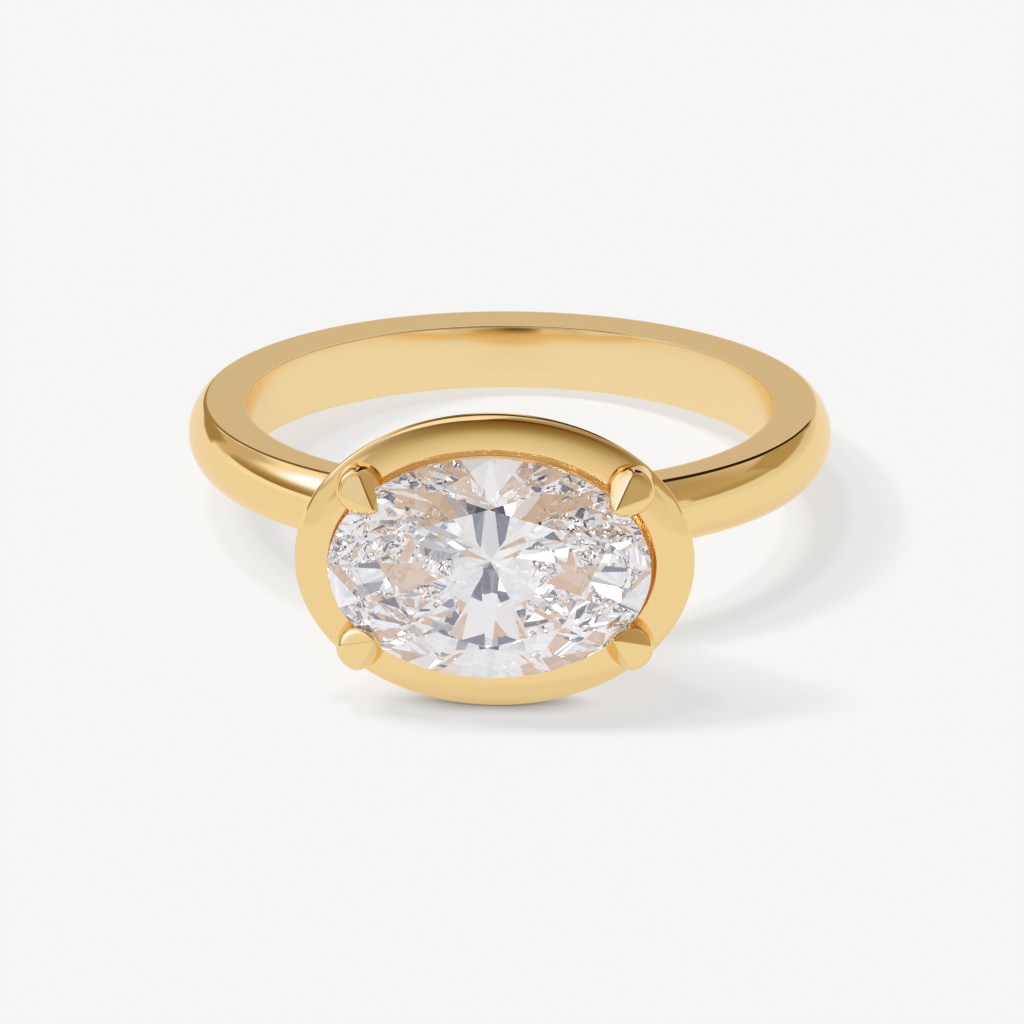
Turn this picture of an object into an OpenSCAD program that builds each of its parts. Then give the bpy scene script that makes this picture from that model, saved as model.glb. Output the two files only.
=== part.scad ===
// Oval engagement ring: a band, a cup, an oval frame with four claws, and an oval brilliant set across the finger.
// Millimetres. The ring lies on its side as it would by itself: the frame's lower edge and the band's rear edge
// touch the floor, the stone faces -Y and a little upwards, and the origin is under the middle of the ring.

/* [Shank] */
// Inside diameter of the band, US size 6
finger_d = 16.5; // [15.5:0.1:17.5]
// Width of the band along the finger
shank_w = 2.08; // [1.9:0.01:2.3]
// Thickness of the flat sides at the back of the band
wall_back = 1.78; // [1.4:0.01:1.9]
// Thickness of the flat sides under the head
wall_front = 0.96; // [0.9:0.01:1.2]
// Height of the dome on the band's outside
dome_h = 0.51; // [0.4:0.01:0.6]
// Rounding of the band's edges on the finger side
comfort_r = 0.15; // [0.1:0.01:0.2]

/* [Stone] */
// Length of the stone, across the finger
stone_len = 9.76; // [9.5:0.01:10]
// Width of the stone, along the finger
stone_w = 6.94; // [6.8:0.01:7.1]
// Width of the table as a share of the stone
table_share = 0.63; // [0.58:0.01:0.66]
// Height of the crown above the girdle
crown_h = 0.95; // [0.7:0.01:1.05]
// Thickness of the girdle at the facets' corners
girdle_h = 0.17; // [0.15:0.01:0.22]
// Depth of the pavilion below the girdle
pavilion_h = 3.25; // [2.8:0.01:3.3]
// How far the stone is set off the head's middle, across the finger
stone_shift = -0.12; // [-0.15:0.01:0.15]

/* [Head] */
// Distance from the finger's axis to the lower edge of the girdle
girdle_reach = 13.5; // [13.4:0.01:13.7]
// How far the frame's inner lip lies below the girdle
lip_drop = 0.4; // [0.35:0.01:0.45]
// Gap between the girdle and the lip, seen from above
lip_gap = 0.1; // [0.08:0.01:0.2]
// Width of the frame's face
face_w = 0.83; // [0.7:0.01:0.9]
// Fall of the face from the lip to its outer edge
face_fall = 0.18; // [0.12:0.01:0.25]
// Rounding between the face and the frame's side
edge_r = 0.21; // [0.15:0.01:0.25]
// Height of the frame's upright side
side_h = 0.2; // [0.15:0.01:0.3]

/* [Claws] */
// Width of a claw where it stands on the frame
claw_w = 1.38; // [1.2:0.01:1.45]
// Where each claw stands, as a turn round the oval from its long axis
claw_at = 38.5; // [36:0.1:41]
// How far the middle of a claw stands out from the girdle
claw_out = 0.35; // [0.3:0.01:0.4]
// Height of a claw's tip above the girdle
claw_rise = 0.53; // [0.45:0.01:0.6]

/* [Hidden] */
gold = "#EBCB8B";
diamond = [0.93, 0.94, 0.97, 0.6];

// Band: the flat sides are a round disc whose centre lies a little behind the finger's axis
finger_r = finger_d / 2;
flat_r = (finger_d + wall_back + wall_front) / 2;
flat_shift = (wall_back - wall_front) / 2;
dome_r = (pow(shank_w / 2, 2) + pow(dome_h, 2)) / (2 * dome_h);

// Stone: half sizes of the girdle, and the shares of it at which the star facets and the lower halves end
stone_a = stone_len / 2;
stone_b = stone_w / 2;
star_share = 0.81;
lower_share = 0.15;
girdle_steps = 64;
stone_gap = 0.04;
table_z = girdle_reach + girdle_h + crown_h;

// Frame: its section is a line of points, each at an offset outwards from the girdle and a height
lip_z = girdle_reach - lip_drop;
face_end = lip_gap + face_w;
face_z = lip_z - face_fall;
face_bow = 0.035;
side_off = face_end + edge_r;
side_z = face_z - edge_r;
frame_bottom = side_z - side_h;
seat_off = -0.7;
seat_drop = 0.5;

// Claw: a round body on the frame, whose top has three corners, each given from the body's middle and by its fall
// below the tip: the heel at the frame's outer edge, the side, and the tip over the stone
claw_heel = [0.01, 0.36, 0.43];
claw_side = [0.36, -0.06, 0.4];
claw_tip = [-0.33, -0.28, 0];
claw_corner_r = 0.2;
claw_tip_r = 0.12;

// Cup between the frame and the band, hollow for the pavilion
foot_half = [2.6, 1];
hollow_half = [2.3, 0.75];
foot_z = finger_r + 0.35;
hollow_z = 9.9;

// Lie of the ring: the line from the frame's lower edge to the band's rear edge is the floor
rear_r = flat_r + flat_shift;
frame_half_w = stone_b + side_off;
tilt = atan2(frame_half_w - shank_w / 2, frame_bottom + rear_r);
floor_z = -rear_r * sin(tilt) - shank_w / 2 * cos(tilt);
front_y = -table_z * cos(tilt) - table_share * stone_b * sin(tilt);
back_y = (rear_r + dome_h - dome_r) * cos(tilt) + dome_r;

// Point of an oval with the given half sizes, moved outwards by an offset along the girdle's own normal
function oval_point(half, off, turn) = let (
    normal = [cos(turn) / stone_a, sin(turn) / stone_b],
    out = normal / norm(normal))
    [half[0] * cos(turn) + off * out[0], half[1] * sin(turn) + off * out[1]];

// Section of the head, from the hollow's foot up over the seat, the face and the edge, and down the cup's outside.
// Each row is [half sizes of the oval, offset, height].
girdle_half = [stone_a, stone_b];
face_steps = 5;
edge_steps = 4;
face_rows = [for (i = [0 : face_steps]) let (s = i / face_steps)
    [girdle_half, lip_gap + face_w * s, lip_z - face_fall * s + 4 * face_bow * s * (1 - s)]];
edge_rows = [for (i = [1 : edge_steps]) let (t = 90 * (1 - i / edge_steps))
    [girdle_half, face_end + edge_r * cos(t), side_z + edge_r * sin(t)]];
head_rows = concat(
    [[hollow_half, 0, foot_z], [hollow_half, 0, hollow_z], [girdle_half, seat_off, lip_z - seat_drop]],
    face_rows,
    edge_rows,
    [
        [girdle_half, side_off, frame_bottom],
        [girdle_half, side_off - 0.22, frame_bottom - 0.12],
        [[4.95, 3.5], 0, 11.65],
        [[4.25, 2.75], 0, 10.85],
        [[3.35, 1.75], 0, 10.1],
        [[2.85, 1.25], 0, 9.6],
        [foot_half, 0, foot_z]
    ]);
head_steps = 72;

// Stone: a corner is given by its share of the way from the middle to the girdle, its turn and its height above the
// girdle's lower edge. The heights of the star and lower points follow from the planes of the kite facets.
table_h = girdle_h + crown_h;
star_h = girdle_h + crown_h * (1 - star_share * cos(22.5)) / (1 - table_share);
lower_h = -pavilion_h * (1 - lower_share * cos(22.5));

function corner(share, turn, h, grow) =
    [(stone_a + grow) * share * cos(turn), (stone_b + grow) * share * sin(turn), h];

// How far a half facet, which ends in a point at share and height h, runs past the chord between its two girdle corners
function half_dip(turn, share, h) = let (middle = 11.25, off = turn - 22.5 * floor(turn / 22.5) - middle)
    h * (cos(off) - cos(middle)) / ((1 - share) * cos(middle));

function stone_corners(grow) = let (turn = 360 / girdle_steps) concat(
    [for (k = [0 : 7]) corner(table_share, 45 * k, table_h + grow, grow)],
    [for (k = [0 : 7]) corner(star_share, 45 * k + 22.5, star_h + grow, grow)],
    [for (i = [0 : girdle_steps - 1])
        corner(1, i * turn, girdle_h + grow - half_dip(i * turn, star_share, star_h - girdle_h), grow)],
    [for (i = [0 : girdle_steps - 1]) corner(1, i * turn, half_dip(i * turn, lower_share, -lower_h) - grow, grow)],
    [for (k = [0 : 7]) corner(lower_share, 45 * k + 22.5, lower_h - grow, grow)],
    [corner(0, 0, -pavilion_h - grow, grow)]);

// Numbers of the corners in that list, each turning round its own ring
half_steps = girdle_steps / 16;
function table_no(k) = (k + 8) % 8;
function star_no(k) = 8 + (k + 8) % 8;
function upper_no(i) = 16 + i % girdle_steps;
function under_no(i) = 16 + girdle_steps + i % girdle_steps;
function lower_no(k) = 16 + 2 * girdle_steps + (k + 8) % 8;
culet_no = 24 + 2 * girdle_steps;

stone_facets = concat(
    [[for (k = [7 : -1 : 0]) table_no(k)]],
    [for (k = [0 : 7]) [table_no(k), table_no(k + 1), star_no(k)]],
    [for (k = [0 : 7]) [table_no(k), star_no(k), upper_no(2 * half_steps * k), star_no(k - 1)]],
    [for (k = [0 : 7], half = [0, 1])
        concat([star_no(k)], [for (i = [half_steps : -1 : 0]) upper_no((2 * k + half) * half_steps + i)])],
    [for (i = [0 : girdle_steps - 1]) [upper_no(i), upper_no(i + 1), under_no(i + 1), under_no(i)]],
    [for (k = [0 : 7], half = [0, 1])
        concat([lower_no(k)], [for (i = [0 : half_steps]) under_no((2 * k + half) * half_steps + i)])],
    [for (k = [0 : 7]) [culet_no, lower_no(k - 1), under_no(2 * half_steps * k), lower_no(k)]]);

module band() {
    difference() {
        translate([0, flat_shift, 0])
            rotate_extrude($fn = 180) {
                translate([0, -shank_w / 2])
                    square([flat_r, shank_w]);
                intersection() {
                    translate([flat_r + dome_h - dome_r, 0])
                        circle(dome_r, $fn = 90);
                    translate([flat_r - dome_h, -shank_w / 2])
                        square([3 * dome_h, shank_w]);
                }
            }
        finger_hole();
    }
}

// What is taken out of the band for the finger: a cylinder that flares in a quarter round at both faces
module finger_hole() {
    rotate_extrude($fn = 180)
        difference() {
            translate([0, -shank_w])
                square([finger_r + comfort_r, 2 * shank_w]);
            for (s = [-1, 1])
                translate([finger_r + comfort_r, s * (shank_w / 2 - comfort_r)])
                    circle(comfort_r, $fn = 40);
            translate([finger_r, comfort_r - shank_w / 2])
                square([2 * comfort_r, shank_w - 2 * comfort_r]);
        }
}

// Frame and cup: the rows of the section, each turned round its own oval, joined into one closed skin
module head_wall() {
    rows = len(head_rows);
    points = [for (row = head_rows, i = [0 : head_steps - 1]) let (p = oval_point(row[0], row[1], 360 * i / head_steps))
        [p[0], p[1], row[2]]];
    function no(j, i) = (j % rows) * head_steps + i % head_steps;
    polyhedron(points = points, convexity = 6, faces = [for (j = [0 : rows - 1], i = [0 : head_steps - 1])
        [no(j, i), no(j, i + 1), no(j + 1, i + 1), no(j + 1, i)]]);
}

// Corner of a claw's top: a small ball that touches the height of the tip less the corner's fall
module claw_corner(place, r) {
    translate([place[0], place[1], girdle_reach + girdle_h + claw_rise - place[2] - r])
        sphere(r, $fn = 16);
}

// One claw, for the corner at +X +Y
module claw() {
    middle = oval_point(girdle_half, claw_out, claw_at);
    translate([middle[0], middle[1], 0])
        hull() {
            translate([0, 0, lip_z])
                sphere(d = claw_w, $fn = 24);
            claw_corner(claw_heel, claw_corner_r);
            claw_corner(claw_side, claw_corner_r);
            claw_corner(claw_tip, claw_tip_r);
        }
}

module claws() {
    for (mx = [0, 1], my = [0, 1])
        mirror([mx, 0, 0])
            mirror([0, my, 0])
                claw();
}

// The head stands along +Z here, and turn_forward lays it along -Y of the ring
module turn_forward() {
    rotate([90, 0, 0])
        children();
}

// The ring as it lies, with its lowest points on the floor and its origin under the middle
module laid_down() {
    translate([0, -(front_y + back_y) / 2, -floor_z])
        rotate([-tilt, 0, 0])
            children();
}

module ring_mount() {
    color(gold)
        laid_down()
            difference() {
                union() {
                    band();
                    turn_forward() {
                        head_wall();
                        claws();
                    }
                }
                turn_forward()
                    stone_shape(stone_gap);
                finger_hole();
            }
}

// Oval brilliant: table, eight stars, eight kites, sixteen halves, girdle, sixteen halves and eight kites below
module stone_shape(grow = 0) {
    translate([stone_shift, 0, girdle_reach])
        polyhedron(points = stone_corners(grow), faces = stone_facets, convexity = 2);
}

module stone() {
    color(diamond)
        laid_down()
            turn_forward()
                stone_shape();
}

ring_mount();
stone();
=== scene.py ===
"""The looks of an oval engagement ring: polished yellow gold and an oval brilliant, lying on a pale floor.

Sizes are millimetres until lay_down() turns them into metres. Two working frames are used:
the ring frame has the finger's axis along Z and the head towards -Y, and the head frame has Z out of the stone's
table, X across the finger and Y along it.
"""

import math

import bpy
import numpy as np
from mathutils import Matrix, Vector


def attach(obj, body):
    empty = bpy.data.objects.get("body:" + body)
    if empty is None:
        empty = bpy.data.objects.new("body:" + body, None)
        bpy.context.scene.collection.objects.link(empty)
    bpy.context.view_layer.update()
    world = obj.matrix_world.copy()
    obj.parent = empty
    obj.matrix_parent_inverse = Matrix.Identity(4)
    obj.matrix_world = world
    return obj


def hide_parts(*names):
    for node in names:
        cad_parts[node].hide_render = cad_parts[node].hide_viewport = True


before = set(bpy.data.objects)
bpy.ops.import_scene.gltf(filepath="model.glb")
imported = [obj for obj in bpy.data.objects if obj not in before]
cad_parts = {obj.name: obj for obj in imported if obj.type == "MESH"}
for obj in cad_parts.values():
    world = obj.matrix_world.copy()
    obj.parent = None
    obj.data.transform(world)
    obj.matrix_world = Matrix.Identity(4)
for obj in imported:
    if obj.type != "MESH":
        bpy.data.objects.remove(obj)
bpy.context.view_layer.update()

MM = 0.001

# Shank: the hole, the width, the flat side's outer circle and how far its middle lies back, and the dome's rise.
# The comfort rounding of the inner wall starts COMFORT_FROM off the middle. COMFORT_SHARE is what is left of it at the
# sides, and the degrees from the middle of the back between which it fades.
FINGER_R = 8.25
SHANK_W = 2.08
FLAT_R = 9.62
FLAT_SHIFT = 0.41
DOME_H = 0.51
COMFORT_FROM = 0.33
COMFORT_R = 3.2
COMFORT_SHARE = (0.3, 12, 40)
INNER_EDGE_R = 0.06
OUTER_EDGE_R = 0.24
SHANK_STEPS = 600
WALL_ROWS, COMFORT_ROWS, INNER_EDGE_ROWS = 7, 14, 10
FLAT_ROWS, OUTER_EDGE_ROWS, DOME_ROWS = 9, 8, 22

# Half length and half width of the stone's girdle
STONE_A = 4.88
STONE_B = 3.47

# Frame of the head: offsets from the girdle's outline, heights in the head frame, and how far its face leans outwards
LIP_Z = 13.1
LIP_OFF = 0.1
LIP_SHIFT = -0.06
LIP_R = 0.03
LIP_FROM = 215
FACE_END = 0.97
FACE_LEAN = (3.0, 23.0)
SHOULDER_R = 0.6
SHOULDER_LEAN = 40
EDGE_R = 0.13
EDGE_LEAN = 115
UNDERCUT = 0.12
FRAME_BOTTOM = 12.51
LIP_ROWS, FACE_ROWS, SHOULDER_ROWS, EDGE_ROWS, SIDE_ROWS = 9, 16, 9, 14, 5
HEAD_STEPS = 480

# The head's cup outside, from the frame's lower edge down into the shank: half sizes of each oval, and its height
CUP = (((4.95, 3.5), 11.65), ((4.25, 2.75), 10.85), ((3.35, 1.75), 10.1), ((2.85, 1.25), 9.6), ((2.6, 1.0), 8.6))
# Its hollow inside: the opening low down, and how far the two upper ovals stand from the girdle and under the lip
HOLLOW = (2.3, 0.75)
HOLLOW_Z = (8.6, 9.9)
HOLLOW_TOP = ((-0.75, 0.8), (-0.1, 0.6))

# Seat under the lip: offset and height of its cove's upper end, the cove's radius, how far it leans, its sweep
SEAT_FROM = (0.11, 13.05)
SEAT_R = 0.7
SEAT_TURN = math.radians(10)
SEAT_SWEEP = 50
SEAT_THICK = 0.1
SEAT_ROWS = 10

# Claws, for the one at +X +Y: the tip, the far end of the outer facet, the heel of the ridge, and the round post.
# CLAW_INNER and CLAW_FLANK are the ways in which its two inner facets face. The rounds are the powers that join walls.
CLAW_TIP = (3.62, 2.07, 14.2)
CLAW_SIDE = (4.62, 2.35, 13.8)
CLAW_HEEL = (4.06, 3.0, 13.77)
CLAW_POST = (4.07, 2.49, 13.1)
CLAW_R = 0.73
CLAW_INNER = (0.0, -0.5, 0.87)
CLAW_FLANK = (-0.6, 0.5, 0.6)
CLAW_FOOT = 12.4
FACET_ROUND = 60
CLAW_ROUND = 12
CLAW_STEPS = (110, 200)
NOTCH_GAP = 0.04

# Each claw: its name, the side it stands on, and how far it stands off its place, as hand set claws do
CLAWS = (
    ("upper_right", 1, 1, (0.04, -0.04, 0)),
    ("upper_left", -1, 1, (0.05, -0.13, 0)),
    ("lower_right", 1, -1, (0.05, 0.02, 0)),
    ("lower_left", -1, -1, (0.05, -0.13, 0)),
)

# Colours and finish of the metal and the stone. GOLD_EDGE is the colour at a glancing angle, and INNER_REACH holds
# the distances from the finger's axis between which the finger side's finish and its paler painted reflection end.
# The seat's colours are painted light: warm bounce light that deepens to painted shade over the heights in SEAT_SHADE,
# which lie in the head frame. A grain is the scale, strength and depth of the bump that polishing or cutting leaves.
GOLD = (0.955, 0.70, 0.33)
GOLD_EDGE = (0.99, 0.94, 0.84)
# Painted reflection: the finger side is painted paler, standing in for the bright floor that it mirrors
INNER_PAINTED_PALE_GOLD = (0.96, 0.735, 0.39)
INNER_ROUGHNESS = 0.2
INNER_REACH = (8.27, 8.38)
GOLD_ROUGHNESS = (0.04, 0.06)
# Painted light on the seat: warm bounce light at its top, deepening to painted shade where it lies lower
SEAT_PAINTED_BOUNCE_GOLD = (1.0, 0.74, 0.32)
SEAT_PAINTED_SHADE = (1.0, 0.6, 0.17)
SEAT_SHADE = (12.75, 13.05)
SEAT_ROUGHNESS = (0.3, 0.36)
GOLD_GRAIN = (900, 0.06, 0.00002)
SEAT_GRAIN = (2500, 0.1, 0.00002)
DIAMOND_IOR = 2.417
DIAMOND_TINT = ((1.0, 1.0, 1.0), (0.985, 0.98, 0.975))
DIAMOND_CLOUDS = 400

# Floor, in metres: its radius, its own light and its fill, the even light in what the gold mirrors, and the contact
# shade, which reaches CONTACT_REACH millimetres and is full beyond the far end of CONTACT_ZONE in front
FLOOR_R = 1.5
FLOOR_SIDES = 96
FLOOR_ALBEDO = 0.28
FLOOR_GLOW = 0.648
FLOOR_FILL = 0.27
FLOOR_EVEN = 0.89
FLOOR_EVEN_SHARE = 0.6
CONTACT_REACH = 0.8
CONTACT_RANGE = (0.1, 0.8)
CONTACT_ZONE = (0.004, 0.007)
CONTACT_SAMPLES = 8

# What the stone looks out on: the studio in grey, from the dark tone to the light one, with cards of its own. The cup
# card stands for the warm light that comes up through the open head.
STONE_DARK = (0.0, 0.005, 0.03)
STONE_LIGHT = (0.945, 0.945, 0.97)
STONE_CARDS = (
    ("cup", 0, -9, 0, 62, 62, 4.0, (0.62, 0.42, 0.285), 1.0),
    ("left_gap", -72, 14, 10, 12, 14, 2.0, (0.14, 0.2, 0.34), 1.0),
    ("right_gap", 84, 22, -15, 13, 14, 2.0, (0.14, 0.2, 0.34), 1.0),
    ("left_sky", -90, 52, 0, 16, 14, 4.0, (0.78, 0.9, 1.12), 1.0),
    ("right_sky", 90, 56, 0, 16, 14, 4.0, (0.78, 0.9, 1.12), 1.0),
    ("camera", 178, 33, 0, 24, 22, 2.0, (0.03, 0.045, 0.11), 1.0),
    ("lamp", -125, 52, 0, 21, 16, 3.0, (1.6, 1.6, 1.65), 1.0),
)

# Suns: name, azimuth from behind towards the right, height, strength and spread in degrees
SUNS = (("key", -89, 52, 1.05, 8), ("second", -80, 60, 0.55, 10), ("top", -70, 76, 0.85, 12))

# Studio: what stands round the ring, as heights in degrees with the colour there, on four sides
FRONT_STOPS = (
    (0, (0.86, 0.85, 0.80)), (13, (0.76, 0.74, 0.68)), (20, (0.62, 0.58, 0.50)), (25, (0.45, 0.39, 0.26)),
    (30, (0.31, 0.22, 0.10)), (37, (0.21, 0.12, 0.03)), (42, (0.10, 0.04, 0.01)), (47, (0.12, 0.05, 0.02)),
    (51, (0.38, 0.31, 0.22)), (61, (0.42, 0.36, 0.28)), (65, (0.85, 0.83, 0.8)), (71, (0.85, 0.83, 0.8)),
    (75, (0.08, 0.05, 0.03)), (90, (0.04, 0.02, 0.01)),
)
LEFT_STOPS = (
    (0, (1.0, 1.0, 1.0)), (7, (1.0, 1.0, 1.0)), (8.5, (0.30, 0.19, 0.08)), (14, (0.36, 0.25, 0.11)),
    (18, (0.46, 0.38, 0.25)), (22, (0.7, 0.66, 0.6)), (26, (1.0, 1.0, 1.0)), (50, (1.0, 1.0, 1.0)),
    (56, (0.5, 0.42, 0.3)), (61, (0.12, 0.08, 0.04)), (78, (0.08, 0.05, 0.02)), (90, (0.04, 0.02, 0.01)),
)
BACK_STOPS = (
    (0, (0.86, 0.85, 0.82)), (5, (0.71, 0.67, 0.63)), (9, (0.67, 0.62, 0.58)), (13, (0.78, 0.75, 0.71)),
    (17, (1.0, 1.0, 1.0)), (46, (1.0, 1.0, 1.0)), (52, (0.6, 0.5, 0.38)), (60, (0.25, 0.15, 0.06)),
    (72, (0.08, 0.05, 0.02)), (90, (0.04, 0.02, 0.01)),
)
RIGHT_STOPS = (
    (0, (0.84, 0.85, 0.84)), (10, (0.82, 0.83, 0.84)), (11.5, (0.47, 0.38, 0.20)), (16, (0.45, 0.35, 0.18)),
    (22, (0.53, 0.44, 0.28)), (30, (0.52, 0.42, 0.27)), (45, (0.48, 0.38, 0.25)), (60, (0.5, 0.43, 0.36)),
    (72, (0.3, 0.24, 0.18)), (90, (0.04, 0.02, 0.01)),
)

# Cards in front of that: azimuth from behind towards the right, height, turn, half width, half height and soft rim
# in degrees, the colour, and its strength
CARDS = (
    ("black", 28, 37.6, -20, 10, 28, 1.5, (0.04, 0.025, 0.01), 1.0),
    ("soft_box", -150, 57.5, 0, 16, 9.5, 1.5, (1.0, 1.0, 1.0), 1.05),
    ("low_light", -142, 20, 0, 8, 6, 2.0, (0.8, 0.83, 0.88), 1.0),
    ("tan", -45, 15, 0, 14, 9, 3.0, (0.64, 0.54, 0.40), 1.0),
    ("lamp", -91, 35, 0, 11, 9, 6.0, (1.15, 1.5, 2.8), 1.0),
    ("left_floor", -129, 10, 0, 19, 9, 2.0, (0.83, 0.81, 0.75), 1.0),
    ("right_floor", 129, 10, 0, 19, 9, 2.0, (0.83, 0.82, 0.78), 1.0),
    ("left_line", -50, 26, 0, 13, 8, 5.0, (0.6, 0.53, 0.44), 1.0),
    ("left_shade", -19, 33, 20, 9, 20, 3.0, (0.2, 0.13, 0.06), 1.0),
    ("left_low", -27, 7.5, 0, 20, 7.5, 2.5, (0.38, 0.28, 0.14), 1.0),
    ("right_low", 43, 20, 0, 23, 9.7, 2.0, (0.46, 0.36, 0.21), 1.0),
    ("right_shade", 18, 32, -25, 10, 20, 2.0, (0.03, 0.015, 0.01), 1.0),
)

# Light turns many times inside the stone before it leaves
LIGHT_BOUNCES = 48

# Camera, in millimetres, pixels and degrees
SENSOR = 36
IMAGE_SIDE = 1024
DISTANCE = 300.0
PIXELS_PER_MM = 31.77
AZIMUTH = 2.05
ELEVATION = 26.87
CAMERA_ASIDE = (0.08, -2.46)

# How the ring lies: its axis leans by LEAN towards the head, and its middle is at CENTRE
LEAN = math.radians(9.0)
CENTRE = (0.0, 2.1778, 2.5962)


def turn_forward(p):
    """Head frame to ring frame: Z out of the table becomes -Y, and Y along the finger becomes Z."""
    return np.stack([p[..., 0], -p[..., 2], p[..., 1]], axis=-1)


def lay_down(p):
    """Ring frame in millimetres to the shared frame in metres: a turn about X by LEAN, then a shift to CENTRE."""
    c, s = math.cos(LEAN), math.sin(LEAN)
    y = p[..., 1] * c + p[..., 2] * s
    z = -p[..., 1] * s + p[..., 2] * c
    return (np.stack([p[..., 0], y, z], axis=-1) + np.array(CENTRE)) * MM


def arc(centre, radius, start, end, count):
    """Points of a circle's arc in the plane: centre plus radius times the cosine and sine of an evenly run angle."""
    t = np.radians(np.linspace(start, end, count))
    return np.stack([centre[0] + radius * np.cos(t), centre[1] + radius * np.sin(t)], axis=-1)


def line(start, end, count):
    """Points of a straight line, crowded towards both ends, so that a smooth shade keeps the flat stretch flat."""
    t = 0.5 - 0.5 * np.cos(np.linspace(0, math.pi, count))
    start, end = np.array(start, float), np.array(end, float)
    return start + (end - start) * t[:, None]


def shank_profile():
    """Closed section of the band as columns r, z and a share: 0 on the finger side, 1 on the outer circle.

    It runs up the inner wall, round the inner edge, out over the flat side, round the outer edge and down the dome,
    and its lower half mirrors the upper one.
    """
    half = SHANK_W / 2
    lean = math.asin((half - INNER_EDGE_R - COMFORT_FROM) / (COMFORT_R - INNER_EDGE_R))
    lean_deg = math.degrees(lean)
    wall = line((FINGER_R, 0), (FINGER_R, COMFORT_FROM), WALL_ROWS)
    comfort = arc((FINGER_R + COMFORT_R, COMFORT_FROM), COMFORT_R, 180, 180 - lean_deg, COMFORT_ROWS)
    inner = arc((comfort[-1, 0] + INNER_EDGE_R * math.cos(lean), half - INNER_EDGE_R), INNER_EDGE_R,
                180 - lean_deg, 90, INNER_EDGE_ROWS)
    dome_r = (half * half + DOME_H * DOME_H) / (2 * DOME_H)
    dome_c = FLAT_R + DOME_H - dome_r
    edge_z = half - OUTER_EDGE_R
    edge_c = dome_c + math.sqrt((dome_r - OUTER_EDGE_R) ** 2 - edge_z**2)
    edge_turn = math.degrees(math.asin(edge_z / (dome_r - OUTER_EDGE_R)))
    outer = arc((edge_c, edge_z), OUTER_EDGE_R, 90, edge_turn, OUTER_EDGE_ROWS)
    flat = line(inner[-1], outer[0], FLAT_ROWS)[1:-1]
    dome = arc((dome_c, 0), dome_r, edge_turn, 0, DOME_ROWS)
    inside = np.concatenate([wall, comfort[1:], inner[1:]])
    outside = np.concatenate([outer, dome[1:]])
    across = (flat[:, 0] - inner[-1, 0]) / (outer[0, 0] - inner[-1, 0])
    upper = np.concatenate([
        np.column_stack([inside, np.zeros(len(inside))]),
        np.column_stack([flat, across]),
        np.column_stack([outside, np.ones(len(outside))]),
    ])
    lower = upper[1:-1][::-1] * [1, -1, 1]
    return np.concatenate([upper, lower])


def shank_points():
    """Grid of the band: turn u by profile v. A point is (share * shift behind the axis) + r (cos u, sin u), at z.

    The rounding of the inner wall is full at the back and fades to a share of itself towards the sides, where the
    wall is nearly straight.
    """
    r, z, share = shank_profile().T
    u = np.linspace(0, 2 * math.pi, SHANK_STEPS, endpoint=False)[:, None]
    least, start, end = COMFORT_SHARE
    off = np.degrees(np.abs(np.arctan2(np.cos(u), np.sin(u))))
    fade = np.clip((off - start) / (end - start), 0, 1)
    keep = 1 - (1 - least) * fade * fade * (3 - 2 * fade)
    r = np.where(share == 0, FINGER_R + (r - FINGER_R) * keep, r)
    return np.stack([r * np.cos(u), r * np.sin(u) + FLAT_SHIFT * share, z + 0 * u], axis=-1)


def oval(half, off, turn):
    """Points of an ellipse with the given half sizes, moved outwards by off along the girdle's own normal."""
    nx, ny = np.cos(turn) / STONE_A, np.sin(turn) / STONE_B
    n = np.hypot(nx, ny)
    return half[0] * np.cos(turn) + off * nx / n, half[1] * np.sin(turn) + off * ny / n


def frame_profile():
    """Section of the bezel frame as columns offset, height.

    The face is an arc whose normal leans from the first to the second FACE_LEAN. A tighter arc is the shoulder, a
    tight one the edge, and from there the side slants in under it to the lower edge.
    """
    lean = np.radians(FACE_LEAN)
    face_r = (FACE_END - LIP_OFF) / (math.sin(lean[1]) - math.sin(lean[0]))
    face_c = (LIP_OFF - face_r * math.sin(lean[0]), LIP_Z - face_r * math.cos(lean[0]))
    face = arc(face_c, face_r, 90 - FACE_LEAN[0], 90 - FACE_LEAN[1], FACE_ROWS)
    lip_c = face[0] - LIP_R * np.array([math.sin(lean[0]), math.cos(lean[0])])
    lip = arc(lip_c, LIP_R, LIP_FROM, 90 - FACE_LEAN[0], LIP_ROWS)
    towards = np.array([math.sin(lean[1]), math.cos(lean[1])])
    shoulder = arc(face[-1] - SHOULDER_R * towards, SHOULDER_R, 90 - FACE_LEAN[1], 90 - SHOULDER_LEAN, SHOULDER_ROWS)
    turn = math.radians(SHOULDER_LEAN)
    towards = np.array([math.sin(turn), math.cos(turn)])
    edge = arc(shoulder[-1] - EDGE_R * towards, EDGE_R, 90 - SHOULDER_LEAN, 90 - EDGE_LEAN, EDGE_ROWS)
    side = line(edge[-1], (edge[-1, 0] - UNDERCUT, FRAME_BOTTOM), SIDE_ROWS)
    return np.concatenate([lip, face[1:], shoulder[1:], edge[1:], side[1:]])


def head_points():
    """Grid of the head's wall: section row by turn. Each row is an oval, and the rows close through the hollow."""
    girdle = (STONE_A, STONE_B)
    rows = [(HOLLOW, 0, z) for z in HOLLOW_Z]
    rows += [(girdle, off, LIP_Z - under) for off, under in HOLLOW_TOP]
    rows += [(girdle, off, z) for off, z in frame_profile()]
    rows += [(half, 0, z) for half, z in CUP]
    turn = np.linspace(0, 2 * math.pi, HEAD_STEPS, endpoint=False)
    grid = []
    for half, off, z in rows:
        x, y = oval(half, off, turn)
        inside = max(0, min(1, (FACE_END - off) / (FACE_END - LIP_OFF))) if half is girdle else 0
        grid.append(np.stack([x + LIP_SHIFT * inside, y, np.full_like(x, z)], axis=-1))
    return np.stack(grid)


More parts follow.
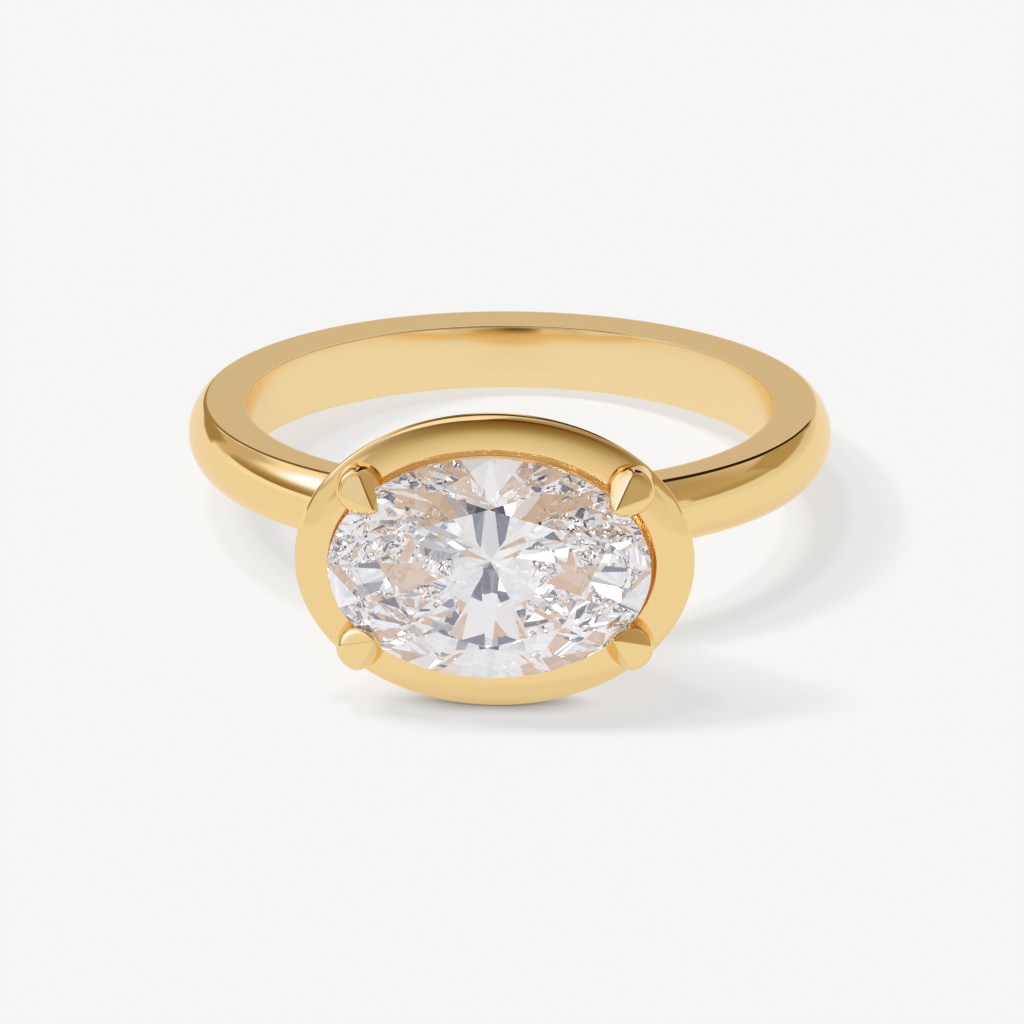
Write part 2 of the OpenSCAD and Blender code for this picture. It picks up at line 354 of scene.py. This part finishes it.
def seat_points():
    """Grid of the seat, a thin ring under the lip.

    Its section is a cove, an arc that falls from the lip to under the girdle, and the same arc SEAT_THICK lower.
    """
    middle = (SEAT_FROM[0] - SEAT_R * math.cos(SEAT_TURN), SEAT_FROM[1] + SEAT_R * math.sin(SEAT_TURN))
    cove = arc(middle, SEAT_R, -math.degrees(SEAT_TURN), -math.degrees(SEAT_TURN) - SEAT_SWEEP, SEAT_ROWS)
    section = np.concatenate([cove, cove[::-1] - [0, SEAT_THICK]])
    turn = np.linspace(0, 2 * math.pi, HEAD_STEPS, endpoint=False)
    rows = [oval((STONE_A, STONE_B), off, turn) for off, z in section]
    return np.stack([np.stack([x + LIP_SHIFT, y, 0 * x + z], axis=-1) for (x, y), (off, z) in zip(rows, section)])


def unit(v):
    """The vector divided by its own length."""
    return np.array(v, float) / np.linalg.norm(v)


def claw_points():
    """Grid of one claw over polar and azimuth angles of a direction from a point inside its post.

    The distance to the surface along a direction d is (sum over walls of (n . d / h) ** p) ** (-1 / p), where n is
    the wall's normal and h its distance, which joins the walls with round edges. The three facets that meet at the
    tip are joined first, with a high p for crisp ridges, and then joined with the post and the foot with a low one.
    """
    tip, side, heel, post = (np.array(p) for p in (CLAW_TIP, CLAW_SIDE, CLAW_HEEL, CLAW_POST))
    along_side, along_ridge = unit(side - tip), unit(heel - tip)
    outer = unit(np.cross(along_side, along_ridge))
    inner = np.array(CLAW_INNER)
    inner = unit(inner - inner @ along_side * along_side)
    flank = np.array(CLAW_FLANK)
    flank = unit(flank - flank @ along_ridge * along_ridge)
    polar = np.linspace(0, math.pi, CLAW_STEPS[0])[:, None]
    turn = np.linspace(0, 2 * math.pi, CLAW_STEPS[1], endpoint=False)
    d = np.stack([np.sin(polar) * np.cos(turn), np.sin(polar) * np.sin(turn), np.cos(polar) + 0 * turn], axis=-1)
    walls = [(n, (tip - post) @ n) for n in (outer, inner, flank)]
    facets = sum(np.maximum(d @ n / h, 0) ** FACET_ROUND for n, h in walls) ** (1 / FACET_ROUND)
    foot = np.maximum(-d[..., 2] / (post[2] - CLAW_FOOT), 0)
    side = np.hypot(d[..., 0], d[..., 1]) / CLAW_R
    total = sum(w ** CLAW_ROUND for w in (facets, foot, side))
    return post + d * total[..., None] ** (-1 / CLAW_ROUND)


def build_piece(name, points, corners, sizes):
    """Mesh object from points, the corner numbers of all faces in a row, and the number of corners of each face."""
    mesh = bpy.data.meshes.new(name)
    mesh.vertices.add(len(points))
    mesh.vertices.foreach_set("co", points.reshape(-1).astype(np.float32))
    mesh.loops.add(len(corners))
    mesh.loops.foreach_set("vertex_index", corners.astype(np.int32))
    mesh.polygons.add(len(sizes))
    mesh.polygons.foreach_set("loop_start", (np.cumsum(sizes) - sizes).astype(np.int32))
    mesh.polygons.foreach_set("use_smooth", np.ones(len(sizes), bool))
    mesh.update(calc_edges=True)
    mesh.validate()
    piece = bpy.data.objects.new(name, mesh)
    bpy.context.scene.collection.objects.link(piece)
    return piece


def ring_of_sections(name, grid):
    """Piece from a grid that closes on itself both ways."""
    rows, cols = grid.shape[:2]
    i, j = np.meshgrid(np.arange(rows), np.arange(cols), indexing="ij")
    i2, j2 = (i + 1) % rows, (j + 1) % cols
    quads = np.stack([i * cols + j, i2 * cols + j, i2 * cols + j2, i * cols + j2], axis=-1)
    return build_piece(name, grid.reshape(-1, 3), quads.reshape(-1), np.full(rows * cols, 4))


def closed_dome(name, grid, mirrored=False):
    """Piece from a grid whose rows close round and whose first and last rows are each one point."""
    rows, cols = grid.shape[:2]
    points = np.concatenate([grid[:1, 0], grid[1:-1].reshape(-1, 3), grid[-1:, 0]])
    i, j = np.meshgrid(np.arange(rows - 3), np.arange(cols), indexing="ij")
    here, after = 1 + i * cols, 1 + (i + 1) * cols
    j2 = (j + 1) % cols
    quads = np.stack([here + j, after + j, after + j2, here + j2], axis=-1).reshape(-1, 4)
    k = np.arange(cols)
    k2 = (k + 1) % cols
    last = len(points) - 1
    top = np.stack([0 * k, 1 + k, 1 + k2], axis=-1)
    foot = np.stack([0 * k + last, last - cols + k2, last - cols + k], axis=-1)
    if mirrored:
        quads, top, foot = quads[:, ::-1], top[:, ::-1], foot[:, ::-1]
    corners = np.concatenate([quads.reshape(-1), top.reshape(-1), foot.reshape(-1)])
    return build_piece(name, points, corners, np.array([4] * len(quads) + [3] * 2 * cols))


def noise_bump(tree, scale, strength, distance):
    """Bump from a fine noise over Object coordinates, for the faint unevenness that polishing leaves."""
    nodes, links = tree.nodes, tree.links
    place = nodes.new("ShaderNodeTexCoord")
    noise = nodes.new("ShaderNodeTexNoise")
    noise.inputs["Scale"].default_value = scale
    noise.inputs["Detail"].default_value = 3.0
    bump = nodes.new("ShaderNodeBump")
    bump.inputs["Strength"].default_value = strength
    bump.inputs["Distance"].default_value = distance
    links.new(place.outputs["Object"], noise.inputs["Vector"])
    links.new(noise.outputs["Fac"], bump.inputs["Height"])
    return noise, bump


def gold_material():
    """Polished yellow gold: a metal whose roughness varies a little over the surface.

    The finger side, where the squared distance from the finger's axis is small, is less polished, and is painted
    paler there: a painted reflection that stands for the bright floor it mirrors.
    """
    material = bpy.data.materials.new("polished_gold")
    material.use_nodes = True
    tree = material.node_tree
    shader = tree.nodes["Principled BSDF"]
    shader.inputs["Metallic"].default_value = 1.0
    shader.inputs["Specular Tint"].default_value = (*GOLD_EDGE, 1)
    noise, bump = noise_bump(tree, *GOLD_GRAIN)
    rough = tree.nodes.new("ShaderNodeMapRange")
    rough.inputs["To Min"].default_value = GOLD_ROUGHNESS[0]
    rough.inputs["To Max"].default_value = GOLD_ROUGHNESS[1]
    tree.links.new(noise.outputs["Fac"], rough.inputs["Value"])
    place = tree.nodes.new("ShaderNodeTexCoord")
    from_middle, along, square = (tree.nodes.new("ShaderNodeVectorMath") for k in range(3))
    from_middle.operation = "SUBTRACT"
    from_middle.inputs[1].default_value = [c * MM for c in CENTRE]
    tree.links.new(place.outputs["Object"], from_middle.inputs[0])
    along.operation = square.operation = "DOT_PRODUCT"
    along.inputs[1].default_value = (0, math.sin(LEAN), math.cos(LEAN))
    tree.links.new(from_middle.outputs["Vector"], along.inputs[0])
    for k in range(2):
        tree.links.new(from_middle.outputs["Vector"], square.inputs[k])
    height = along.outputs["Value"]
    height = math_node(tree.nodes, tree.links, "MULTIPLY", height, height)
    far = math_node(tree.nodes, tree.links, "SUBTRACT", square.outputs["Value"], height)
    inner = tree.nodes.new("ShaderNodeMapRange")
    inner.inputs["From Min"].default_value = (INNER_REACH[0] * MM) ** 2
    inner.inputs["From Max"].default_value = (INNER_REACH[1] * MM) ** 2
    tree.links.new(far, inner.inputs["Value"])
    # Painted reflection: paler gold on the finger side, where the ring mirrors the bright floor
    tone = mixed(tree.nodes, tree.links, inner.outputs["Result"], INNER_PAINTED_PALE_GOLD, GOLD)
    tree.links.new(tone, shader.inputs["Base Color"])
    finish = tree.nodes.new("ShaderNodeMix")
    finish.inputs["A"].default_value = INNER_ROUGHNESS
    tree.links.new(inner.outputs["Result"], finish.inputs["Factor"])
    tree.links.new(rough.outputs["Result"], finish.inputs["B"])
    tree.links.new(finish.outputs["Result"], shader.inputs["Roughness"])
    tree.links.new(bump.outputs["Normal"], shader.inputs["Normal"])
    return material


def seat_material():
    """Gold of the seat: cut with a burr and not polished, so its shine is soft.

    Its colour is painted light: warm orange bounce light, deepening to painted shade where it lies lower.
    """
    material = bpy.data.materials.new("seat_gold_painted_shade")
    material.use_nodes = True
    tree = material.node_tree
    shader = tree.nodes["Principled BSDF"]
    shader.inputs["Metallic"].default_value = 1.0
    noise, bump = noise_bump(tree, *SEAT_GRAIN)
    place = tree.nodes.new("ShaderNodeTexCoord")
    height = tree.nodes.new("ShaderNodeVectorMath")
    height.operation = "DOT_PRODUCT"
    height.inputs[1].default_value = (0, -math.cos(LEAN), math.sin(LEAN))
    tree.links.new(place.outputs["Object"], height.inputs[0])
    shade = tree.nodes.new("ShaderNodeMapRange")
    middle = CENTRE[2] * math.sin(LEAN) - CENTRE[1] * math.cos(LEAN)
    shade.inputs["From Min"].default_value = (SEAT_SHADE[0] + middle) * MM
    shade.inputs["From Max"].default_value = (SEAT_SHADE[1] + middle) * MM
    tree.links.new(height.outputs["Value"], shade.inputs["Value"])
    # Painted shade: the seat turns a deeper orange lower down, under the stone
    tone = mixed(tree.nodes, tree.links, shade.outputs["Result"], SEAT_PAINTED_SHADE, SEAT_PAINTED_BOUNCE_GOLD)
    tree.links.new(tone, shader.inputs["Base Color"])
    rough = tree.nodes.new("ShaderNodeMapRange")
    rough.inputs["To Min"].default_value = SEAT_ROUGHNESS[0]
    rough.inputs["To Max"].default_value = SEAT_ROUGHNESS[1]
    tree.links.new(noise.outputs["Fac"], rough.inputs["Value"])
    tree.links.new(rough.outputs["Result"], shader.inputs["Roughness"])
    tree.links.new(bump.outputs["Normal"], shader.inputs["Normal"])
    return material


def diamond_material():
    """Clear diamond at its own index, whose tint varies very faintly inside, as a natural stone's does."""
    material = bpy.data.materials.new("diamond")
    material.use_nodes = True
    tree = material.node_tree
    shader = tree.nodes["Principled BSDF"]
    place = tree.nodes.new("ShaderNodeTexCoord")
    noise = tree.nodes.new("ShaderNodeTexNoise")
    noise.inputs["Scale"].default_value = DIAMOND_CLOUDS
    tree.links.new(place.outputs["Object"], noise.inputs["Vector"])
    tint = mixed(tree.nodes, tree.links, noise.outputs["Fac"], *DIAMOND_TINT)
    tree.links.new(tint, shader.inputs["Base Color"])
    shader.inputs["Roughness"].default_value = 0.0
    shader.inputs["IOR"].default_value = DIAMOND_IOR
    shader.inputs["Transmission Weight"].default_value = 1.0
    return material


def floor_material():
    """Pale light table: most of its brightness is its own glow, so shadows on it stay light.

    The glow fades where the head all but touches it, for the thin dark line of contact. In what the gold mirrors, the
    shadows are weaker, by a share of even light.
    """
    material = bpy.data.materials.new("pale_floor")
    material.use_nodes = True
    tree = material.node_tree
    shader = tree.nodes["Principled BSDF"]
    shader.inputs["Base Color"].default_value = (FLOOR_ALBEDO, FLOOR_ALBEDO, FLOOR_ALBEDO, 1)
    shader.inputs["Roughness"].default_value = 1.0
    shader.inputs["Specular IOR Level"].default_value = 0.0
    near = tree.nodes.new("ShaderNodeAmbientOcclusion")
    near.samples = CONTACT_SAMPLES
    near.inputs["Distance"].default_value = CONTACT_REACH * MM
    fade = tree.nodes.new("ShaderNodeMapRange")
    fade.inputs["From Min"].default_value = CONTACT_RANGE[0]
    fade.inputs["From Max"].default_value = CONTACT_RANGE[1]
    fade.inputs["To Max"].default_value = FLOOR_GLOW
    tree.links.new(near.outputs["AO"], fade.inputs["Value"])
    place = tree.nodes.new("ShaderNodeTexCoord")
    split = tree.nodes.new("ShaderNodeSeparateXYZ")
    tree.links.new(place.outputs["Object"], split.inputs["Vector"])
    front = tree.nodes.new("ShaderNodeMapRange")
    front.interpolation_type = "SMOOTHSTEP"
    front.inputs["From Min"].default_value, front.inputs["From Max"].default_value = CONTACT_ZONE
    tree.links.new(math_node(tree.nodes, tree.links, "MULTIPLY", split.outputs["Y"], -1.0), front.inputs["Value"])
    glow = tree.nodes.new("ShaderNodeMix")
    glow.inputs["A"].default_value = FLOOR_GLOW
    tree.links.new(front.outputs["Result"], glow.inputs["Factor"])
    tree.links.new(fade.outputs["Result"], glow.inputs["B"])
    tree.links.new(glow.outputs["Result"], shader.inputs["Emission Strength"])
    shader.inputs["Emission Color"].default_value = (1, 1, 1, 1)
    even = tree.nodes.new("ShaderNodeEmission")
    even.inputs["Strength"].default_value = FLOOR_EVEN
    light = tree.nodes.new("ShaderNodeLightPath")
    share = math_node(tree.nodes, tree.links, "MULTIPLY", light.outputs["Is Glossy Ray"], FLOOR_EVEN_SHARE)
    both = tree.nodes.new("ShaderNodeMixShader")
    tree.links.new(share, both.inputs[0])
    tree.links.new(shader.outputs["BSDF"], both.inputs[1])
    tree.links.new(even.outputs["Emission"], both.inputs[2])
    tree.links.new(both.outputs["Shader"], tree.nodes["Material Output"].inputs["Surface"])
    return material


def make_floor():
    """Round floor under the ring, out to FLOOR_R metres."""
    turn = np.linspace(0, 2 * math.pi, FLOOR_SIDES, endpoint=False)
    points = np.stack([FLOOR_R * np.cos(turn), FLOOR_R * np.sin(turn), 0 * turn], axis=-1)
    floor = build_piece("floor", points, np.arange(FLOOR_SIDES), np.array([FLOOR_SIDES]))
    floor.data.materials.append(floor_material())
    floor.visible_transmission = False
    return floor


def make_sun(name, azimuth, elevation, strength, spread):
    """Sun lamp that shines from an azimuth, measured from +Y towards +X, and an elevation above the floor."""
    lamp = bpy.data.lights.new(name, "SUN")
    lamp.energy = strength
    lamp.angle = math.radians(spread)
    sun = bpy.data.objects.new(name, lamp)
    a, e = math.radians(azimuth), math.radians(elevation)
    towards = Vector((math.sin(a) * math.cos(e), math.cos(a) * math.cos(e), math.sin(e)))
    sun.rotation_mode = "QUATERNION"
    sun.rotation_quaternion = towards.to_track_quat("Z", "Y")
    bpy.context.scene.collection.objects.link(sun)
    sun.visible_glossy = False
    return sun


def math_node(nodes, links, operation, a, b=None):
    """Math node whose inputs are sockets or numbers."""
    node = nodes.new("ShaderNodeMath")
    node.operation = operation
    for socket, value in zip(node.inputs, (a, b)):
        if isinstance(value, (int, float)):
            socket.default_value = value
        elif value is not None:
            links.new(value, socket)
    return node.outputs["Value"]


def mixed(nodes, links, share, before, after):
    """Colour that goes from before to after by a share, where each may be a socket or a value."""
    mix = nodes.new("ShaderNodeMix")
    mix.data_type = "RGBA"
    for key, value in (("Factor", share), ("A", before), ("B", after)):
        socket = mix.inputs[key]
        if isinstance(value, tuple):
            socket.default_value = (*value, 1)
        elif isinstance(value, float):
            socket.default_value = value
        else:
            links.new(value, socket)
    return mix.outputs["Result"]


def add_card(nodes, links, ray, before, azimuth, height, turn, half_w, half_h, rim, colour, strength):
    """World colour with one rectangular card in it, which stands at a direction and is turned about it.

    Its share is the product of three soft steps: one for each half size, over the sine of the angle from its middle,
    and one that leaves out the opposite side.
    """
    a, e, t = (math.radians(v) for v in (azimuth, height, turn))
    towards = Vector((math.sin(a) * math.cos(e), math.cos(a) * math.cos(e), math.sin(e)))
    level = Vector((math.cos(a), -math.sin(a), 0))
    upright = level.cross(towards)
    right = level * math.cos(t) + upright * math.sin(t)
    up = upright * math.cos(t) - level * math.sin(t)
    share = None
    for axis, half in ((right, half_w), (up, half_h), (towards, None)):
        dot = nodes.new("ShaderNodeVectorMath")
        dot.operation = "DOT_PRODUCT"
        dot.inputs[1].default_value = axis
        links.new(ray, dot.inputs[0])
        edge = nodes.new("ShaderNodeMapRange")
        edge.interpolation_type = "SMOOTHSTEP"
        reach = dot.outputs["Value"]
        if half is None:
            edge.inputs["From Min"].default_value, edge.inputs["From Max"].default_value = 0.0, 0.1
        else:
            reach = math_node(nodes, links, "ABSOLUTE", reach)
            edge.inputs["From Min"].default_value = math.sin(math.radians(half + rim))
            edge.inputs["From Max"].default_value = math.sin(math.radians(half - rim))
        links.new(reach, edge.inputs["Value"])
        part = edge.outputs["Result"]
        share = part if share is None else math_node(nodes, links, "MULTIPLY", share, part)
    return mixed(nodes, links, share, before, tuple(c * strength for c in colour))


def make_world():
    """Studio round the ring: a ramp of colours by height for each of four sides.

    A direction takes from each side by the square of its cosine to that side. Light that falls on the floor is an
    even fill instead, so that the shadows there stay soft and grey.
    """
    world = bpy.data.worlds.new("studio")
    world.use_nodes = True
    bpy.context.scene.world = world
    nodes, links = world.node_tree.nodes, world.node_tree.links
    place = nodes.new("ShaderNodeTexCoord")
    split = nodes.new("ShaderNodeSeparateXYZ")
    links.new(place.outputs["Generated"], split.inputs["Vector"])
    x, y, z = (split.outputs[k] for k in "XYZ")
    across = math_node(nodes, links, "SUBTRACT", 1.0001, math_node(nodes, links, "MULTIPLY", z, z))
    total = None
    sides = ((FRONT_STOPS, y, -1), (LEFT_STOPS, x, -1), (BACK_STOPS, y, 1), (RIGHT_STOPS, x, 1))
    for stops, axis, sign in sides:
        ramp = nodes.new("ShaderNodeValToRGB")
        elements = ramp.color_ramp.elements
        elements[1].position = 1.0
        for k, (height, colour) in enumerate(stops):
            position = math.sin(math.radians(height))
            if k == 0:
                stop = elements[0]
            elif k == len(stops) - 1:
                stop = elements[k]
            else:
                stop = elements.new(position)
            stop.position = position
            stop.color = (*colour, 1)
        links.new(z, ramp.inputs["Fac"])
        towards = math_node(nodes, links, "MAXIMUM", math_node(nodes, links, "MULTIPLY", axis, sign), 0.0)
        weight = math_node(nodes, links, "DIVIDE", math_node(nodes, links, "MULTIPLY", towards, towards), across)
        part = nodes.new("ShaderNodeVectorMath")
        part.operation = "SCALE"
        links.new(ramp.outputs["Color"], part.inputs[0])
        links.new(weight, part.inputs["Scale"])
        if total is None:
            total = part.outputs["Vector"]
        else:
            added = nodes.new("ShaderNodeVectorMath")
            added.operation = "ADD"
            links.new(total, added.inputs[0])
            links.new(part.outputs["Vector"], added.inputs[1])
            total = added.outputs["Vector"]
    for card in CARDS:
        total = add_card(nodes, links, place.outputs["Generated"], total, *card[1:])
    light = nodes.new("ShaderNodeLightPath")
    grey = nodes.new("ShaderNodeRGBToBW")
    links.new(total, grey.inputs["Color"])
    through = mixed(nodes, links, grey.outputs["Val"], STONE_DARK, STONE_LIGHT)
    for card in STONE_CARDS:
        through = add_card(nodes, links, place.outputs["Generated"], through, *card[1:])
    total = mixed(nodes, links, light.outputs["Is Transmission Ray"], total, through)
    total = mixed(nodes, links, light.outputs["Is Diffuse Ray"], total, 3 * (FLOOR_FILL,))
    links.new(total, nodes["Background"].inputs["Color"])


def make_camera():
    """Long lens on the ring's middle, from AZIMUTH to the right of the front and ELEVATION above the floor.

    The lens stands aside by CAMERA_ASIDE, right and up, so that the ring lies where it does in the photograph.
    """
    lens = bpy.data.cameras.new("camera")
    lens.sensor_width = SENSOR
    lens.lens = PIXELS_PER_MM * DISTANCE * SENSOR / IMAGE_SIDE
    lens.clip_start, lens.clip_end = 0.01, 10
    camera = bpy.data.objects.new("camera", lens)
    a, e = math.radians(AZIMUTH), math.radians(ELEVATION)
    back = Vector((math.sin(a) * math.cos(e), -math.cos(a) * math.cos(e), math.sin(e)))
    right = Vector((math.cos(a), math.sin(a), 0))
    up = right.cross(-back)
    aside = right * CAMERA_ASIDE[0] + up * CAMERA_ASIDE[1]
    camera.location = (Vector(CENTRE) + back * DISTANCE + aside) * MM
    camera.rotation_mode = "QUATERNION"
    camera.rotation_quaternion = (-back).to_track_quat("-Z", "Y")
    bpy.context.scene.collection.objects.link(camera)
    bpy.context.scene.camera = camera


def notch(piece, cutter):
    """Cut the cutter's shape out of a piece for good, as a setter's burr cuts the seat for the stone into a claw."""
    cut = piece.modifiers.new("notch", "BOOLEAN")
    cut.operation = "DIFFERENCE"
    cut.object = cutter
    cut.solver = "EXACT"
    whole = piece.evaluated_get(bpy.context.evaluated_depsgraph_get())
    mesh = bpy.data.meshes.new_from_object(whole)
    piece.modifiers.clear()
    piece.data = mesh


def grown_stone():
    """Copy of the stone, pushed away from its own middle by NOTCH_GAP on each axis."""
    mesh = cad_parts["stone"].data.copy()
    points = np.empty(3 * len(mesh.vertices))
    mesh.vertices.foreach_get("co", points)
    points = points.reshape(-1, 3)
    low, high = points.min(axis=0), points.max(axis=0)
    middle, half = (low + high) / 2, (high - low) / 2
    points = middle + (points - middle) * (1 + NOTCH_GAP * MM / half)
    mesh.vertices.foreach_set("co", points.reshape(-1).astype(np.float32))
    mesh.polygons.foreach_set("use_smooth", np.zeros(len(mesh.polygons), bool))
    mesh.materials.clear()
    cutter = bpy.data.objects.new("cutter", mesh)
    bpy.context.scene.collection.objects.link(cutter)
    return cutter


def make_gold():
    """The gold pieces that stand for the ring mount: the shank, the head, its seat and the four claws."""
    gold = gold_material()
    pieces = [
        ring_of_sections("shank", lay_down(shank_points())),
        ring_of_sections("head", lay_down(turn_forward(head_points()))),
    ]
    seat = ring_of_sections("seat", lay_down(turn_forward(seat_points())))
    claw = claw_points()
    cutter = grown_stone()
    for name, sx, sy, move in CLAWS:
        grid = lay_down(turn_forward(claw * [sx, sy, 1] + move))
        pieces.append(closed_dome("claw_" + name, grid, mirrored=sx * sy < 0))
        notch(pieces[-1], cutter)
    bpy.data.objects.remove(cutter)
    seat.data.materials.append(seat_material())
    for piece in pieces:
        piece.data.materials.append(gold)
    for piece in (*pieces, seat):
        piece.visible_transmission = False
        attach(piece, "root")
    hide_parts("ring_mount")


def make_stone():
    """The stone keeps the mesh of the construction, whose facets are flat, and takes the diamond's material."""
    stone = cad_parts["stone"]
    stone.data.materials.clear()
    stone.data.materials.append(diamond_material())


bpy.context.scene.view_settings.view_transform = "Standard"
bpy.context.scene.cycles.max_bounces = LIGHT_BOUNCES
bpy.context.scene.cycles.transmission_bounces = LIGHT_BOUNCES
bpy.context.scene.cycles.glossy_bounces = LIGHT_BOUNCES
make_camera()
make_world()
make_floor()
for sun in SUNS:
    make_sun(*sun)
make_gold()
make_stone()
